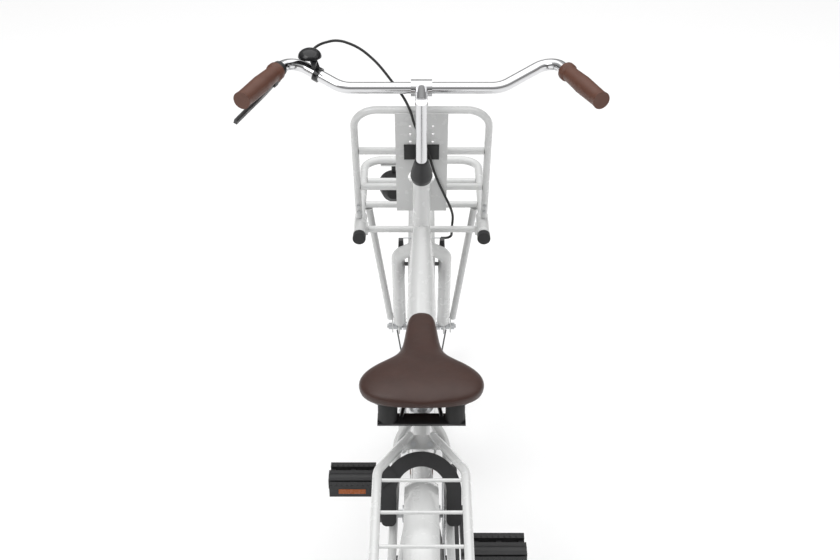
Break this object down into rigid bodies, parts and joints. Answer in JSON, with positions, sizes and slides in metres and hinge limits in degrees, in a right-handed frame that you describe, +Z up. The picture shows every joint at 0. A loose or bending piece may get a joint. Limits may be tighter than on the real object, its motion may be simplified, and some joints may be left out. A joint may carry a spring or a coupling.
{
  "type": "folding bicycle",
  "caption": "Folding city bicycle with a hinged main beam, front and rear carriers, mudguards, ring lock, coaster brake, hand brake and centre stand.",
  "frame": {"origin": "on the ground under the middle of the bicycle", "axes": "+Y forward, +X to the rider's right, +Z up"},
  "size_m": [0.6836, 1.6417, 1.0796],
  "materials": {
    "white_paint": "gloss",
    "black_metal": "satin",
    "chrome": "polished",
    "zinc": "satin",
    "alloy": "satin",
    "spoke": "polished",
    "tyre": "matte",
    "black_plastic": "matte",
    "gloss_black": "gloss",
    "leather": "satin",
    "rubber": "matte"
  },
  "bodies": {
    "rear_frame": {"seat_tube": "white_paint", "bottom_bracket_cups": "zinc", "rear_beam": "white_paint", "fold_hinge_rear": "white_paint", "fold_hinge_pin": "zinc", "chainstays": "white_paint", "seat_stays": "white_paint", "rear_mudguard": "white_paint", "rear_carrier": "white_paint", "chain_guard": "black_plastic", "chain": "zinc", "coaster_arm": "zinc", "stand_bracket": "black_metal", "ring_lock_case": "black_plastic", "seat_clamp": "alloy", "rear_axle": "zinc"},
    "rear_wheel": {"rear_tyre": "tyre", "rear_rim": "alloy", "rear_spokes": "spoke", "rear_hub": "alloy"},
    "rear_sprocket_body": {"rear_sprocket": "zinc"},
    "crankset": {"crank_arms": "black_metal", "chainring": "black_metal"},
    "left_pedal": {"pedal_left": "black_plastic"},
    "right_pedal": {"pedal_right": "black_plastic"},
    "seat": {"seatpost": "alloy", "saddle": "leather", "saddle_frame": "black_metal", "saddle_springs": "rubber"},
    "seat_lever": {"seat_clamp_lever": "alloy"},
    "stand": {"stand_legs": "black_metal"},
    "lock_bar": {"lock_bolt": "chrome"},
    "front_frame": {"front_beam": "white_paint", "head_tube": "white_paint", "fold_hinge_front": "white_paint", "headset_cups": "black_metal"},
    "latch": {"fold_latch": "alloy"},
    "steering": {"fork": "white_paint", "headset_cone": "black_plastic", "front_hoop": "white_paint", "front_carrier_plate": "white_paint", "front_carrier_platform": "white_paint", "front_carrier_bolts": "zinc", "front_mudguard": "white_paint", "front_lamp": "black_plastic", "front_axle": "zinc", "brake_cable": "rubber"},
    "front_wheel": {"front_tyre": "tyre", "front_rim": "alloy", "front_spokes": "spoke", "front_hub": "alloy"},
    "handlebar_body": {"stem": "chrome", "handlebar": "chrome", "grips": "leather", "lever_mount": "black_plastic", "bell": "gloss_black"},
    "hand_brake_lever": {"brake_lever": "black_metal"},
    "bell_thumb": {"bell_lever": "gloss_black"},
    "left_brake_arm": {"brake_arm_left": "black_metal"},
    "right_brake_arm": {"brake_arm_right": "black_metal"}
  },
  "joints": [
    {"name": "rear_wheel_spin", "type": "hinge", "parent": "rear_frame", "child": "rear_wheel", "pos_m": [0, -0.497, 0.298], "axis": [-1, 0, 0], "continuous": true},
    {"name": "crank_spin", "type": "hinge", "parent": "rear_frame", "child": "crankset", "pos_m": [0, -0.095, 0.276], "axis": [-1, 0, 0], "continuous": true},
    {"name": "sprocket_spin", "type": "hinge", "parent": "rear_frame", "child": "rear_sprocket_body", "pos_m": [0, -0.497, 0.298], "axis": [-1, 0, 0], "continuous": true},
    {"name": "left_pedal_spin", "type": "hinge", "parent": "crankset", "child": "left_pedal", "pos_m": [0, 0.06392, 0.22467], "axis": [-1, 0, 0], "continuous": true},
    {"name": "right_pedal_spin", "type": "hinge", "parent": "crankset", "child": "right_pedal", "pos_m": [0, -0.25392, 0.32733], "axis": [-1, 0, 0], "continuous": true},
    {"name": "seat_height", "type": "slide", "parent": "rear_frame", "child": "seat", "axis": [0, -0.309, 0.9511], "range_m": [-0.03, 0.12]},
    {"name": "seat_lever_turn", "type": "hinge", "parent": "rear_frame", "child": "seat_lever", "pos_m": [-0.024, -0.18506, 0.63733], "axis": [0, 0.309, -0.9511], "range_deg": [0, 150]},
    {"name": "stand_fold", "type": "hinge", "parent": "rear_frame", "child": "stand", "pos_m": [0, -0.183, 0.24], "axis": [-1, 0, 0], "range_deg": [0, 90]},
    {"name": "lock_close", "type": "hinge", "parent": "rear_frame", "child": "lock_bar", "pos_m": [0, -0.31654, 0.52457], "axis": [0, -0.7385, 0.6743], "range_deg": [0, 120]},
    {"name": "frame_fold", "type": "hinge", "parent": "rear_frame", "child": "front_frame", "pos_m": [-0.037, 0, 0.406], "axis": [0, 0, 1], "range_deg": [0, 140]},
    {"name": "latch_turn", "type": "hinge", "parent": "front_frame", "child": "latch", "pos_m": [0.035, 0.007, 0.406], "axis": [0, 0, -1], "range_deg": [0, 100]},
    {"name": "steering_turn", "type": "hinge", "parent": "front_frame", "child": "steering", "pos_m": [0, 0.31738, 0.71487], "axis": [0, -0.342, 0.9397], "range_deg": [-45, 45]},
    {"name": "front_wheel_spin", "type": "hinge", "parent": "steering", "child": "front_wheel", "pos_m": [0, 0.517, 0.298], "axis": [-1, 0, 0], "continuous": true},
    {"name": "handlebar_height", "type": "slide", "parent": "steering", "child": "handlebar_body", "axis": [0, -0.342, 0.9397], "range_m": [-0.015, 0.05], "deforming": ["brake_cable"]},
    {"name": "brake_squeeze", "type": "hinge", "parent": "handlebar_body", "child": "hand_brake_lever", "pos_m": [-0.27927, 0.28461, 1.01805], "axis": [-0.8708, 0.3711, 0.3225], "range_deg": [0, 9], "stiffness_Nm_per_rad": 3},
    {"name": "bell_thumb_turn", "type": "hinge", "parent": "handlebar_body", "child": "bell_thumb", "pos_m": [-0.201, 0.288, 1.057], "axis": [0, 0, 1], "range_deg": [0, 25], "stiffness_Nm_per_rad": 0.05},
    {"name": "left_arm_turn", "type": "hinge", "parent": "steering", "child": "left_brake_arm", "pos_m": [-0.044, 0.43159, 0.50635], "axis": [0, 0.9397, 0.342], "range_deg": [0, 4.6]},
    {"name": "right_arm_turn", "type": "hinge", "parent": "steering", "child": "right_brake_arm", "pos_m": [0.044, 0.43159, 0.50635], "axis": [0, -0.9397, -0.342], "range_deg": [0, 4.6]}
  ],
  "couplings": [
    {"joint": "sprocket_spin", "follows": "crank_spin", "ratio": 2.1111},
    {"joint": "left_arm_turn", "follows": "brake_squeeze", "ratio": 0.5},
    {"joint": "right_arm_turn", "follows": "brake_squeeze", "ratio": 0.5}
  ]
}
